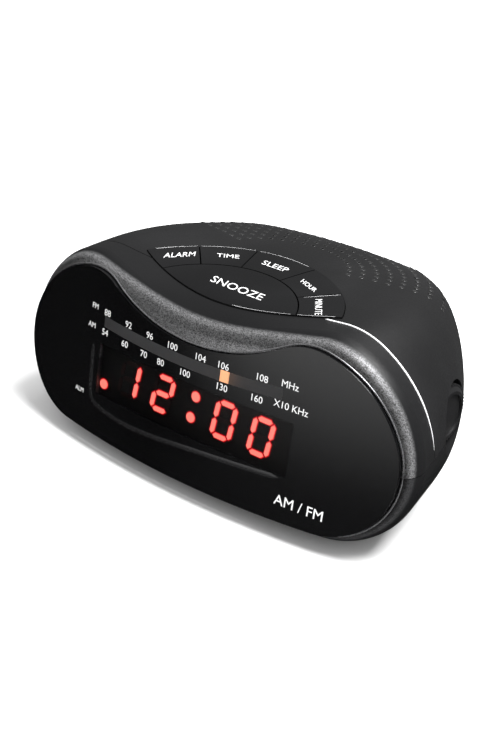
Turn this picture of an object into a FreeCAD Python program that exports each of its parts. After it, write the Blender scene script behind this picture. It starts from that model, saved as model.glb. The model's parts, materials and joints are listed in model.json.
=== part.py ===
import FreeCAD, Part
import Sketcher
import math
import os

# Bedside clock radio, modelled in millimetres.
# Frame: X to the right seen from the front, Y to the back, Z up, origin at the
# middle of the footprint on the table. The face leans back and bows outwards.

os.makedirs("parts", exist_ok=True)
V = FreeCAD.Vector
doc = FreeCAD.newDocument("clock_radio")
sheet = doc.addObject("Spreadsheet::Sheet", "dims")

DIMS = [
    ("wall", 2.2, "cabinet wall thickness"),
    ("face_radius", 435.0, "plan radius of the bowed lens surface"),
    ("face_lean", 12.0, "lean of the face from upright, degrees"),
    ("face_y", -60.0, "front of the lens at its bottom middle"),
    ("face_z", 7.0, "height of the lens bottom middle"),
    ("lens_thick", 2.5, "lens thickness"),
    ("lens_proud", 1.2, "lens surface ahead of the cabinet face"),
    ("rim_radius", 8.0, "rounding round the front rim"),
    ("seam_y", -27.0, "joint between front and rear cabinets"),
    ("part_z", 35.0, "joint between cabinets and bottom case"),
    ("seam_gap", 0.3, "open gap along the cabinet joints"),
    ("floor_z", 2.0, "underside of the bottom case"),
    ("key_x", 2.0, "middle of the key group, left to right"),
    ("key_front_r", 89.0, "plan radius of the key group's front edge"),
    ("key_front_y", -36.0, "front edge of the key group in the middle"),
    ("key_rear_r", 48.3, "plan radius of the key group's rear edge"),
    ("key_rear_y", 5.6, "rear edge of the key group in the middle"),
    ("snooze_r", 32.8, "plan radius of the middle key's rear edge"),
    ("snooze_y", -10.8, "rear edge of the middle key"),
    ("key_gap", 0.25, "half of the gap between two keys"),
    ("key_lift", 0.5, "keys stand above the deck by this"),
    ("key_travel", 0.8, "press of a key"),
    ("knob_y", -4.0, "knob axis, front to back"),
    ("knob_z", 37.0, "knob axis height"),
    ("knob_r", 11.3, "knob radius"),
    ("well_r", 13.0, "radius of the round well the knob sits in"),
    ("well_floor", 72.0, "well floor, distance from the middle plane"),
    ("shaft_r", 3.0, "tuning shaft radius"),
    ("drum_r", 23.0, "cord radius on the tuning drum"),
    ("drum_x", 34.0, "drum axis, left to right"),
    ("drum_y", -8.0, "drum axis, front to back"),
    ("idler_r", 3.5, "cord radius on an idler pulley"),
    ("cord_r", 0.35, "dial cord radius"),
    ("cord_z", 51.0, "height of the dial cord"),
    ("cord_y", -33.0, "front run of the dial cord"),
    ("pointer_x", 13.4, "dial pointer at rest"),
    ("rail_r", 1.0, "pointer rail radius"),
    ("volume_r", 10.5, "volume knob radius"),
    ("volume_well_r", 12.5, "radius of the volume knob well"),
    ("board_thick", 1.6, "circuit board thickness"),
    ("main_board_z", 24.0, "underside of the main board"),
    ("speaker_y", 25.0, "speaker axis, front to back"),
    ("speaker_r", 23.5, "speaker frame radius"),
    ("speaker_z", 53.5, "underside of the speaker rim"),
    ("grille_y", -2.0, "centre of the grille arcs"),
    ("grille_hole_r", 0.8, "grille hole radius"),
    ("boss_r", 4.0, "screw boss radius"),
    ("screw_r", 1.5, "case screw radius"),
    ("foot_r", 5.0, "rubber foot radius"),
    ("foot_high", 2.6, "rubber foot thickness"),
    ("battery_long", 48.5, "back-up battery length"),
    ("battery_wide", 26.5, "back-up battery width"),
    ("battery_high", 17.5, "back-up battery height"),
    ("digit_high", 14.7, "height of a display digit"),
    ("digit_lean", 8.0, "slant of the digits, degrees"),
]
for row, (alias, value, note) in enumerate(DIMS, start=1):
    sheet.set("A%d" % row, alias)
    sheet.set("B%d" % row, str(value))
    sheet.set("C%d" % row, note)
    sheet.setAlias("B%d" % row, alias)

# Cross-sections of the whole cabinet, front to back. Each is a ring of tangent
# arcs: bottom, corner, side, lobe and the dip between the two lobes.
SECTION_NAMES = ("y", "half_width", "top", "dip", "bottom", "lobe_r", "corner_r", "side_r", "side_z")
SECTIONS = [
    (-80.0, 94.6, 73.6, 58.5, 2.0, 27.0, 33.0, 45.0, 28.7),
    (-62.0, 93.8, 73.6, 60.0, 2.0, 27.0, 33.0, 45.0, 28.7),
    (-49.0, 92.6, 73.5, 62.0, 2.0, 27.0, 33.0, 45.0, 29.2),
    (-39.0, 90.2, 73.3, 67.8, 2.0, 26.7, 32.0, 44.0, 30.5),
    (-27.0, 87.5, 72.8, 69.9, 2.0, 26.5, 31.0, 43.0, 32.0),
    (-10.0, 84.0, 71.5, 70.4, 2.0, 26.0, 30.0, 43.0, 33.0),
    (10.0, 76.3, 69.2, 70.0, 2.0, 25.0, 28.0, 43.0, 33.5),
    (25.0, 67.7, 66.6, 67.8, 2.0, 24.0, 26.0, 43.0, 33.0),
    (38.0, 58.5, 63.6, 65.0, 2.2, 22.0, 23.0, 43.0, 32.5),
    (47.0, 49.3, 60.0, 61.2, 3.0, 20.0, 20.0, 43.0, 31.5),
    (53.0, 40.0, 55.6, 56.6, 4.8, 17.0, 17.0, 43.0, 30.0),
    (57.5, 30.0, 49.6, 50.4, 8.0, 14.0, 14.0, 43.0, 28.8),
    (60.0, 21.0, 43.6, 44.2, 12.0, 10.0, 10.0, 43.0, 27.8),
    (61.0, 14.0, 38.6, 39.0, 16.0, 7.0, 7.0, 43.0, 27.3),
]
first = len(DIMS) + 2
for i, values in enumerate(SECTIONS):
    for j, value in enumerate(values):
        cell = "%s%d" % ("BCDEFGHIJ"[j], first + i)
        sheet.set(cell, str(value))
        sheet.setAlias(cell, "sect%d_%s" % (i, SECTION_NAMES[j]))
doc.recompute()


def dim(alias):
    return float(sheet.get(alias))


def put(obj, prop, value):
    """Set a property to a number, or bind it to the sheet if it is text."""
    if isinstance(value, str):
        obj.setExpression(prop, value)
    else:
        setattr(obj, prop, value)


def place(obj, base, axis=V(0, 0, 1), angle=0.0):
    obj.Placement = FreeCAD.Placement(V(*base), FreeCAD.Rotation(axis, angle))
    return obj


TURN = {"z": (V(0, 0, 1), 0.0), "x": (V(0, 1, 0), 90.0), "y": (V(1, 0, 0), -90.0)}


def box(name, low, high):
    """Box between two corners, given as numbers."""
    obj = doc.addObject("Part::Box", name)
    obj.Length, obj.Width, obj.Height = (high[k] - low[k] for k in range(3))
    return place(obj, low)


def cyl(name, radius, height, base, axis="z"):
    obj = doc.addObject("Part::Cylinder", name)
    put(obj, "Radius", radius)
    put(obj, "Height", height)
    return place(obj, base, *TURN[axis])


def cone(name, r1, r2, height, base, axis="z"):
    obj = doc.addObject("Part::Cone", name)
    obj.Radius1, obj.Radius2, obj.Height = r1, r2, height
    return place(obj, base, *TURN[axis])


def cut(name, base, *tools):
    obj = doc.addObject("Part::Cut", name)
    obj.Base = base
    obj.Tool = tools[0] if len(tools) == 1 else fuse(name + "_tools", *tools)
    return obj


def fuse(name, *shapes):
    obj = doc.addObject("Part::MultiFuse", name)
    obj.Shapes = list(shapes)
    return obj


def common(name, one, other):
    obj = doc.addObject("Part::Common", name)
    obj.Base, obj.Tool = one, other
    return obj


def group(name, *shapes):
    obj = doc.addObject("Part::Compound", name)
    obj.Links = list(shapes)
    return obj


def origin_plane(body, role):
    return next(f for f in body.Origin.OriginFeatures if f.Role == role)


def new_sketch(body, name, role, offset=None):
    sketch = body.newObject("Sketcher::SketchObject", name)
    sketch.AttachmentSupport = [(origin_plane(body, role), "")]
    sketch.MapMode = "FlatFace"
    if offset is not None:
        put(sketch, "AttachmentOffset.Base.z", offset)
    return sketch


def add_lines(sketch, points):
    """Closed polygon whose corners are tied together."""
    count = len(points)
    for k in range(count):
        a, b = points[k], points[(k + 1) % count]
        sketch.addGeometry(Part.LineSegment(V(a[0], a[1], 0), V(b[0], b[1], 0)), False)
    for k in range(count):
        sketch.addConstraint(Sketcher.Constraint("Coincident", k, 2, (k + 1) % count, 1))


def turned(name, profile, base=(0, 0, 0), axis="z"):
    """Revolved body; profile is a list of (radius, height) corners."""
    body = doc.addObject("PartDesign::Body", name)
    sketch = new_sketch(body, name + "_profile", "XZ_Plane")
    add_lines(sketch, profile)
    rev = body.newObject("PartDesign::Revolution", name + "_turn")
    rev.Profile = sketch
    rev.ReferenceAxis = (sketch, ["V_Axis"])
    rev.Angle = 360.0
    body.Tip = rev
    return place(body, base, *TURN[axis])


def pad(name, points, length, base=(0, 0, 0), axis=V(0, 0, 1), angle=0.0):
    """Padded polygon drawn in the XY plane, then placed."""
    body = doc.addObject("PartDesign::Body", name)
    sketch = new_sketch(body, name + "_outline", "XY_Plane")
    add_lines(sketch, points)
    feat = body.newObject("PartDesign::Pad", name + "_pad")
    feat.Profile = sketch
    put(feat, "Length", length)
    body.Tip = feat
    return place(body, base, axis, angle)


def unit(vec):
    return vec * (1.0 / vec.Length)


def ring_of_arcs(half_width, top, dip, bottom, lobe_r, corner_r, side_r, side_z, bottom_r=20000.0,
                 inset=0.0):
    """Tangent arcs of one cross-section, as a closed list."""
    half_width, top, dip, bottom = half_width - inset, top - inset, dip - inset, bottom + inset
    lobe_r, corner_r, side_r, bottom_r = (r - inset for r in (lobe_r, corner_r, side_r, bottom_r))
    side = V(half_width - side_r, side_z, 0)
    lobe_z = top - lobe_r
    lobe = V(side.x + math.sqrt((side_r - lobe_r) ** 2 - (lobe_z - side_z) ** 2), lobe_z, 0)
    low = V(0, bottom + bottom_r, 0)
    # corner circle touches the side circle and the bottom circle from inside
    a, b = side_r - corner_r, bottom_r - corner_r
    span = (low - side).Length
    along = (a * a - b * b + span * span) / (2 * span)
    across = math.sqrt(a * a - along * along)
    to_low = unit(low - side)
    corner = side + to_low * along + V(to_low.y, -to_low.x, 0) * across
    dip_r = (lobe.x ** 2 + (dip - lobe.y) ** 2 - lobe_r ** 2) / (2 * (lobe_r - (dip - lobe.y)))
    mid = V(0, dip + dip_r, 0)
    if dip_r > 0:
        meet_dip = lobe + unit(mid - lobe) * lobe_r
    else:
        meet_dip = mid + unit(lobe - mid) * (-dip_r)
    meet_lobe = side + unit(lobe - side) * side_r
    meet_side = side + unit(corner - side) * side_r
    meet_low = low + unit(corner - low) * bottom_r
    flip = lambda p: V(-p.x, p.y, 0)
    on = lambda c, r, p, q: c + unit((p - c) + (q - c)) * r
    half = [(meet_low, on(corner, corner_r, meet_low, meet_side), meet_side),
            (meet_side, on(side, side_r, meet_side, meet_lobe), meet_lobe),
            (meet_lobe, on(lobe, lobe_r, meet_lobe, meet_dip), meet_dip)]
    arcs = [Part.Arc(flip(meet_low), V(0, bottom, 0), meet_low)]
    arcs += [Part.Arc(*p) for p in half]
    arcs.append(Part.Arc(meet_dip, V(0, dip, 0), flip(meet_dip)))
    arcs += [Part.Arc(flip(r), flip(q), flip(p)) for p, q, r in reversed(half)]
    return arcs


def cabinet_loft(name, inset, pull):
    """Loft through every section; pull draws the rear sections forward."""
    body = doc.addObject("PartDesign::Body", name)
    sketches = []
    for i in range(len(SECTIONS)):
        values = [dim("sect%d_%s" % (i, n)) for n in SECTION_NAMES]
        back = "-dims.sect%d_y" % i
        if values[0] > 40:
            back += " + %s" % pull
        sketch = new_sketch(body, "%s_section%d" % (name, i), "XZ_Plane", back)
        for arc in ring_of_arcs(*values[1:], inset=inset):
            sketch.addGeometry(arc, False)
        sketches.append(sketch)
    doc.recompute()
    loft = body.newObject("PartDesign::AdditiveLoft", name + "_loft")
    loft.Profile = sketches[0]
    loft.Sections = sketches[1:]
    body.Tip = loft
    return body


# ---------------------------------------------------------------- the face frame
LEAN = dim("face_lean")
FACE = V(0, dim("face_y"), dim("face_z"))
UP = V(0, math.sin(math.radians(LEAN)), math.cos(math.radians(LEAN)))
BACK = V(0, math.cos(math.radians(LEAN)), -math.sin(math.radians(LEAN)))


def face_point(x, depth, up):
    return FACE + V(x, 0, 0) + BACK * depth + UP * up


def lean(obj, x=0.0, depth=0.0, up=0.0):
    """Place an object drawn in face axes: x, depth behind the lens, height up the face."""
    obj.Placement = FreeCAD.Placement(face_point(x, depth, up), FreeCAD.Rotation(V(1, 0, 0), -LEAN))
    return obj


def face_box(name, low, high):
    """Box in face axes."""
    obj = doc.addObject("Part::Box", name)
    obj.Length, obj.Width, obj.Height = (high[k] - low[k] for k in range(3))
    return lean(obj, *low)


def face_cylinder(name, depth):
    """Upright-leaning cylinder whose wall is the bowed face at this depth."""
    obj = doc.addObject("Part::Cylinder", name)
    obj.setExpression("Radius", "dims.face_radius - %s" % depth)
    obj.Height = 320.0
    return lean(obj, 0, dim("face_radius"), -110.0)


def face_prism(name, inset, depth_from, depth_to):
    """Straight prism of the lens outline, drawn in face axes."""
    body = doc.addObject("PartDesign::Body", name)
    sketch = new_sketch(body, name + "_outline", "XZ_Plane")
    for arc in ring_of_arcs(86.0, 64.8, 51.25, 0.0, 23.4, 28.2, 40.0, 25.2, 1025.0, inset):
        sketch.addGeometry(arc, False)
    feat = body.newObject("PartDesign::Pad", name + "_pad")
    feat.Profile = sketch
    feat.Length = depth_to - depth_from
    feat.Reversed = True
    body.Tip = feat
    return lean(body, 0, depth_from, 0)


# ---------------------------------------------------------------- cabinet shell
outer_form = cabinet_loft("outer_form", 0.0, "0")
inner_form = cabinet_loft("inner_form", dim("wall"), "dims.wall * 0.6")
doc.recompute()
face_outer = face_cylinder("face_outer", "dims.lens_proud")
face_inner = face_cylinder("face_inner", "(dims.lens_proud + 3.6)")
raw_block = common("raw_block", outer_form, face_outer)
raw_hollow = common("raw_hollow", inner_form, face_inner)
doc.recompute()


def rim_edges(shape, radius):
    """Edges where the bowed face meets the loft."""
    face = min(shape.Faces, key=lambda f: abs(f.Surface.Radius - radius)
               if hasattr(f.Surface, "Radius") else 1e9)
    return [i + 1 for i, e in enumerate(shape.Edges) if any(e.isSame(o) for o in face.Edges)]


def rounded(name, base, radius, face_radius):
    obj = doc.addObject("Part::Fillet", name)
    obj.Base = base
    obj.Edges = [(i, radius, radius) for i in rim_edges(base.Shape, face_radius)]
    return obj


block = rounded("block", raw_block, dim("rim_radius"), dim("face_radius") - dim("lens_proud"))
hollow = rounded("hollow", raw_hollow, dim("rim_radius") - 3.5, dim("face_radius") - dim("lens_proud") - 3.6)
doc.recompute()


def face_cyl(name, radius, height, x, depth, up):
    """Cylinder running straight back from the face."""
    obj = doc.addObject("Part::Cylinder", name)
    put(obj, "Radius", radius)
    obj.Height = height
    obj.Placement = FreeCAD.Placement(face_point(x, depth, up), FreeCAD.Rotation(V(1, 0, 0), -90 - LEAN))
    return obj


nodes = {}
KY, KZ = dim("knob_y"), dim("knob_z")
KX = dim("key_x")
FRONT_C = (KX, dim("key_front_y") + dim("key_front_r"))
REAR_C = (KX, dim("key_rear_y") - dim("key_rear_r"))
SPK = (0.0, dim("speaker_y"))
FLOOR = dim("floor_z")
CASE_SCREWS = [(-62, -38.4), (62, -38.4), (-40, 34), (40, 34)]
BOARD_POSTS = [(-58, -27), (58, -27), (-58, 5), (58, 5)]
DISPLAY_POSTS = [(-50.5, 38), (50.5, 38), (-50.5, 18), (50.5, 18)]
CLIPS = [(SPK[0] + (dim("speaker_r") + 2.4) * math.cos(math.radians(a)),
          SPK[1] + (dim("speaker_r") + 2.4) * math.sin(math.radians(a))) for a in (20, 120, 240)]
FEET = [(-48, -40), (48, -40), (-30, 42), (30, 42)]

# Ribs, wells and screw columns that belong to the cabinet mouldings.
inner_parts = [
    cyl("knob_well", "dims.well_r + 2", 30.0, (dim("well_floor") - 2, KY, KZ), "x"),
    cyl("volume_well", "dims.volume_well_r + 2", 28.0, (-100, KY, KZ), "x"),
    box("function_well", (-75, 12, 36), (-63.3, 24, 50)),
    box("band_well", (-65, 28, 36), (-52.2, 40, 50)),
    box("battery_walls", (-54, -25, FLOOR), (10, 7, 23.2)),
    box("rod_rib_left", (-23, 43, FLOOR), (-17, 49, 9)),
    box("rod_rib_right", (17, 43, FLOOR), (23, 49, 9)),
]
for i, (x, y) in enumerate(CASE_SCREWS):
    inner_parts.append(cyl("column%d" % i, "dims.boss_r", 80.0, (x, y, 0)))
for i, (x, y) in enumerate(BOARD_POSTS):
    inner_parts.append(cyl("board_post%d" % i, 3.5, "dims.main_board_z", (x, y, 0)))
for i, (x, up) in enumerate(DISPLAY_POSTS):
    inner_parts.append(face_cyl("display_post%d" % i, 2.8, 12.0, x, 3.0, up))
ring_wall = cut("ring_wall", cyl("ring_outside", "dims.speaker_r + 3.5", 30.0, (*SPK, dim("speaker_z"))),
                cyl("ring_inside", "dims.speaker_r + 1.3", 40.0, (*SPK, 45)),
                cyl("ring_key_gap", "dims.key_rear_r + 2.5", 40.0, (*REAR_C, 45)))
inner_parts.append(ring_wall)
ribs = common("ribs", fuse("all_ribs", *inner_parts), block)
walls = cut("walls", block, hollow)
solid_shell = fuse("solid_shell", walls, ribs)

# Everything that is cut away from the mouldings.
recess = cut("recess", face_prism("recess_prism", -0.2, -10, 22),
             face_cylinder("recess_floor", "(dims.lens_thick + 0.2)"))
display_window = face_box("display_window", (-46, -6, 14), (46, 14, 37.0))
dial_window = face_box("dial_window", (-47, -6, 38.2), (47, 14, 49.6))
key_hole = common("key_hole",
                  cyl("key_hole_front", "dims.key_front_r", 30.0, (*FRONT_C, 57)),
                  cyl("key_hole_rear", "dims.key_rear_r", 30.0, (*REAR_C, 57)))
cutters = [
    recess, display_window, dial_window, key_hole,
    cyl("well_bore", "dims.well_r", 40.0, (dim("well_floor"), KY, KZ), "x"),
    cyl("shaft_bore", "dims.shaft_r + 0.4", 30.0, (60, KY, KZ), "x"),
    cyl("volume_bore", "dims.volume_well_r", 30.0, (-104, KY, KZ), "x"),
    cyl("volume_shaft_bore", "dims.shaft_r + 0.4", 30.0, (-90, KY, KZ), "x"),
    box("function_pocket", (-80, 14.5, 38), (-65.3, 21.5, 48)),
    box("function_slot", (-80, 17.0, 39.3), (-60, 19.0, 46.7)),
    box("band_pocket", (-80, 30.5, 38), (-54.2, 37.5, 48)),
    box("band_slot", (-80, 33.0, 39.3), (-50, 35.0, 46.7)),
    box("battery_space", (-52.5, -23.5, 0), (8.5, 5.5, 21.9)),
    cyl("gland_hole", 4.6, 20.0, (0, 50, 20), "y"),
]
for i, (x, y) in enumerate(FEET):
    cutters.append(cyl("foot_recess%d" % i, "dims.foot_r + 0.15", FLOOR + 0.65, (x, y, 0)))
for i, (x, y) in enumerate(CASE_SCREWS):
    cutters.append(cyl("head_bore%d" % i, 3.3, 12.0, (x, y, 0)))
    cutters.append(cyl("clear_bore%d" % i, "dims.screw_r + 0.25", 35.0, (x, y, 0)))
    cutters.append(cyl("pilot%d" % i, "dims.screw_r + 0.05", 50.0, (x, y, 0)))
for i, (x, y) in enumerate(BOARD_POSTS):
    cutters.append(cyl("board_pilot%d" % i, 1.25, 12.0, (x, y, 12)))
for i, (x, up) in enumerate(DISPLAY_POSTS):
    cutters.append(face_cyl("display_pilot%d" % i, 1.25, 9.0, x, 6.5, up))
for i, (x, y) in enumerate(CLIPS):
    cutters.append(cyl("clip_pilot%d" % i, 0.85, 3.6, (x, y, dim("speaker_z") - 0.2)))
# Grille: arcs of small holes over the speaker, fanning out from one centre.
holes = []
for row in range(5):
    radius = 28.0 + 5.0 * row
    step = 4.3 / radius
    count = int(math.radians(140) / step)
    for k in range(count + 1):
        angle = math.pi / 2 + (k - count / 2.0) * step
        x, y = radius * math.cos(angle), dim("grille_y") + radius * math.sin(angle)
        if math.hypot(x - SPK[0], y - SPK[1]) < dim("speaker_r") - 3.0:
            holes.append(cyl("hole_%d_%d" % (row, k), "dims.grille_hole_r", 30.0, (x, y, 56)))
cutters.append(group("grille_holes", *holes))
shell = cut("shell", solid_shell, *cutters)

G = dim("seam_gap") / 2
SEAM, PART_Z = dim("seam_y"), dim("part_z")
nodes["front_cabinet"] = common("front_cabinet", shell,
                                box("front_zone", (-120, -90, PART_Z + G), (120, SEAM - G, 100)))
nodes["rear_cabinet"] = common("rear_cabinet", shell,
                               box("rear_zone", (-120, SEAM + G, PART_Z + G), (120, 80, 100)))
nodes["bottom_case"] = common("bottom_case", shell,
                              box("bottom_zone", (-120, -90, -5), (120, 80, PART_Z - G)))

# ---------------------------------------------------------------- lens and dial
lens_slab = common("lens_slab", face_prism("lens_prism", 0.0, -10, 22), face_cylinder("lens_front", "0"))
nodes["display_lens"] = cut("display_lens", lens_slab, face_cylinder("lens_back", "dims.lens_thick"))
PX = dim("pointer_x")
nodes["dial_backing"] = fuse("dial_backing",
                             face_box("backing_plate", (-47.5, 7.6, 38.5), (47.5, 8.4, 47.7)),
                             face_box("backing_tab_left", (-48.5, 7.6, 41.4), (-47.5, 13.5, 52.5)),
                             face_box("backing_tab_right", (47.5, 7.6, 41.4), (48.5, 13.5, 52.5)))
rail = doc.addObject("Part::Cylinder", "pointer_rail")
rail.setExpression("Radius", "dims.rail_r")
rail.Height = 94.8
rail.Placement = FreeCAD.Placement(face_point(-47.4, 11.5, 50.5), FreeCAD.Rotation(V(0, 1, 0), 90))
nodes["pointer_rail"] = rail
rail_bore = doc.addObject("Part::Cylinder", "rail_bore")
rail_bore.setExpression("Radius", "dims.rail_r + 0.05")
rail_bore.Height = 30.0
rail_bore.Placement = FreeCAD.Placement(face_point(PX - 15, 11.5, 50.5), FreeCAD.Rotation(V(0, 1, 0), 90))
CZ, CY = dim("cord_z"), dim("cord_y")
pointer = fuse("pointer_solid", face_box("pointer_bar", (PX - 1.7, 5.0, 38.6), (PX + 1.7, 5.8, 49.2)),
               face_box("pointer_neck", (PX - 1.2, 5.8, 48.1), (PX + 1.2, 10.0, 49.2)),
               face_box("carriage", (PX - 4, 9.5, 47.9), (PX + 4, 13.5, 53.0)),
               box("cord_clip", (PX - 2.5, -38.5, CZ - 1.4), (PX + 2.5, CY - 0.5, CZ + 1.2)))
nodes["dial_pointer"] = cut("dial_pointer", pointer, rail_bore)

# ---------------------------------------------------------------- tuning drive
DX, DY, DR, IR, CR = (dim(a) for a in ("drum_x", "drum_y", "drum_r", "idler_r", "cord_r"))
GR = CR + 0.06
IDLERS = {"idler_pulley_left": (-56.0, -29.5), "idler_pulley_front": (60.5, -29.5),
          "idler_pulley_rear": (60.5, 12.0)}
chassis = fuse("chassis_solid", box("chassis_plate", (-62, -32.3, 45.2), (67.8, 15.2, 46.2)),
               box("chassis_leg_left", (-62, -20, 25.7), (-61, 4, 46.2)),
               box("chassis_leg_right", (66.8, -20, 25.7), (67.8, 4, 46.2)),
               box("chassis_foot_left", (-62, -20, 25.7), (-54, 0, 26.6)),
               box("chassis_foot_right", (59, -20, 25.7), (67.8, 0, 26.6)),
               *[cyl(n + "_pin", 1.2, 8.0, (*p, 46.0)) for n, p in IDLERS.items()])
nodes["dial_chassis"] = cut("dial_chassis", chassis,
                            cyl("speaker_gap", "dims.speaker_r + 5", 10.0, (*SPK, 40)),
                            cyl("drum_shaft_gap", 4.0, 10.0, (DX, DY, 40)),
                            box("cord_slot_front", (62.8, -27, 45), (65.2, -17, 47)),
                            box("cord_slot_rear", (62.8, 3, 45), (65.2, 11, 47)),
                            cyl("tuning_bearing", "dims.shaft_r + 0.05", 6.0, (64, KY, KZ), "x"),
                            cyl("volume_bush_hole", 3.6, 6.0, (-64, KY, KZ), "x"))
nodes["tuning_drum"] = turned("tuning_drum", [(1.55, 0), (5, 0), (5, 1.5), (DR + 1, 1.5), (DR + 1, 2.6),
                                               (DR - GR, 2.9), (DR - GR, 3.9), (DR + 1, 4.2), (DR + 1, 5.3),
                                               (2.2, 5.3), (2.2, 4.5), (1.55, 4.5)],
                              (DX, DY, CZ - 3.4))
# the two right-hand pulleys have no lower flange, as the cord leaves them downwards
for name, (x, y) in IDLERS.items():
    low_r = IR + 1 if x < 0 else IR - 0.6
    nodes[name] = turned(name, [(1.25, -1.6), (low_r, -1.6), (low_r, -1.1), (IR - GR, -0.45),
                                (IR - GR, 0.45),
                                (IR + 1, 1.1), (IR + 1, 1.6), (1.25, 1.6)], (x, y, CZ))
knob_x = dim("well_floor") + 0.8
face_x = 79.0
KR = dim("knob_r")


def ribbed_rim(name, radius, ribs, length, start):
    """Disc with small ribs round its edge, its axis along X."""
    outline = []
    for k in range(ribs):
        for j, r in enumerate((radius - 0.5, radius, radius, radius - 0.5)):
            a = 2 * math.pi * (k + 0.25 * j) / ribs
            outline.append((r * math.cos(a), r * math.sin(a)))
    return pad(name, outline, length, (start, KY, KZ), V(0, 1, 0), 90)


knob_rim = ribbed_rim("knob_rim", KR, 48, face_x - knob_x - 1.0, knob_x)
knob_dish = cone("knob_dish", KR - 0.8, KR - 2.2, 1.0, (face_x - 1.0, KY, KZ), "x")
nodes["tuning_knob"] = cut("tuning_knob", fuse("knob_solid", knob_rim, knob_dish),
                           cyl("knob_hollow", 8.0, 1.0, (face_x - 0.8, KY, KZ), "x"),
                           cyl("knob_bore", "dims.shaft_r", 4.4, (knob_x, KY, KZ), "x"))
nodes["tuning_shaft"] = cut("tuning_shaft",
                            cyl("shaft_bar", "dims.shaft_r", knob_x + 4.3 - 57.0, (57.0, KY, KZ), "x"),
                            cut("shaft_groove", cyl("groove_outer", 6.0, 3.0, (62.5, KY, KZ), "x"),
                                cyl("groove_inner", "dims.shaft_r - 0.6", 3.0, (62.5, KY, KZ), "x")))
nodes["tuning_capacitor"] = fuse("tuning_capacitor",
                                 box("capacitor_can", (DX - 10, DY - 10, 27.0), (DX + 10, DY + 10, 39.0)),
                                 box("capacitor_pins", (DX - 8, DY - 7, 25.7), (DX + 8, DY + 7, 27.0)),
                                 cyl("capacitor_collar", 3.6, 7.0, (DX, DY, 39.0)),
                                 cyl("capacitor_shaft", 1.5, 13.0, (DX, DY, 39.0)))


CX = 64.0


def tangent_arc(centre, radius, start, end, point):
    """Arc of a circle from one bearing to another; point maps two plane axes to space."""
    mid = (start + end) / 2.0
    at = lambda deg: point(centre[0] + radius * math.cos(math.radians(deg)),
                           centre[1] + radius * math.sin(math.radians(deg)))
    return Part.Arc(at(start), at(mid), at(end)).toShape(), at(start), at(end)


def cord_pipe(edges, start, along):
    wire = Part.Wire(Part.__sortEdges__(edges))
    section = Part.Wire([Part.makeCircle(CR, start, along)])
    return wire.makePipeShell([section], True, True)


flat = lambda x, y: V(x, y, CZ)
left, front, rear, drum = *IDLERS.values(), (DX, DY)
lean_in = math.degrees(math.atan2(drum[1] - left[1], drum[0] - left[0]))
lean_in -= math.degrees(math.asin((IR + DR) / math.hypot(drum[0] - left[0], drum[1] - left[1])))
arcs = [tangent_arc(front, IR, 0, -90, flat), tangent_arc(left, IR, 270, 90 + lean_in, flat),
        tangent_arc(drum, DR, lean_in - 90, 0, flat), tangent_arc(rear, IR, 180, 0, flat)]
edges = [a[0] for a in arcs] + [Part.makeLine(p[2], q[1]) for p, q in zip(arcs, arcs[1:])]
level_run = cord_pipe(edges, flat(CX, -29.5), V(0, 1, 0))
# the cord dips down, passes under the tuning shaft and comes back up
SR = dim("shaft_r") - 0.6 + GR
upright = lambda y, z: V(CX, y, z)


def down_to_shaft(y):
    """Bearing on the shaft where the cord from (y, CZ) touches it on the way under."""
    run = math.hypot(y - KY, CZ - KZ)
    toward = math.degrees(math.atan2(CZ - KZ, y - KY))
    swing = math.degrees(math.acos(SR / run))
    return toward - swing if y > KY else toward + swing


under = tangent_arc((KY, KZ), SR, down_to_shaft(12.0), down_to_shaft(-29.5) - 360, upright)
trim = 0.3
top_rear = upright(12.0, CZ) + unit(under[1] - upright(12.0, CZ)) * trim
top_front = upright(-29.5, CZ) + unit(under[2] - upright(-29.5, CZ)) * trim
dip_edges = [Part.makeLine(top_rear, under[1]), under[0], Part.makeLine(under[2], top_front)]
dip_run = cord_pipe(dip_edges, top_rear, under[1] - top_rear)
nodes["dial_cord"] = doc.addObject("Part::Feature", "dial_cord")
nodes["dial_cord"].Shape = Part.makeCompound([level_run, dip_run])

# ---------------------------------------------------------------- volume control
VR = dim("volume_r")
volume_rim = ribbed_rim("volume_rim", VR, 42, 4.4, -79.0)
nodes["volume_knob"] = cut("volume_knob", fuse("volume_solid", volume_rim,
                                                cone("volume_dish", VR - 2.2, VR - 0.8, 1.0, (-80.0, KY, KZ),
                                                     "x")),
                           cyl("volume_hollow", 7.0, 0.8, (-80.0, KY, KZ), "x"),
                           cyl("volume_knob_bore", "dims.shaft_r", 3.8, (-78.4, KY, KZ), "x"))
nodes["volume_shaft"] = cyl("volume_shaft", "dims.shaft_r", 17.2, (-78.3, KY, KZ), "x")
nodes["volume_potentiometer"] = fuse("volume_potentiometer", cyl("pot_can", 8.0, 8.5, (-60.9, KY, KZ), "x"),
                                     box("pot_lugs", (-58.0, KY - 6, 26.8), (-57.0, KY + 6, 33.0)))

# ---------------------------------------------------------------- slide switches
for name, y, wall_x in (("function_switch", 18.0, -63.3), ("band_switch", 34.0, -52.2)):
    nodes[name] = box(name, (wall_x + 0.2, y - 2.5, 37.0), (wall_x + 7.2, y + 2.5, 49.0))
    nodes[name + "_cap"] = fuse(name + "_cap",
                                box(name + "_stem", (wall_x - 2.6, y - 0.8, 41.8),
                                    (wall_x + 0.1, y + 0.8, 44.2)),
                                box(name + "_tab", (wall_x - 5.2, y - 2.8, 40.8),
                                    (wall_x - 2.3, y + 2.8, 45.2)))

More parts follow.
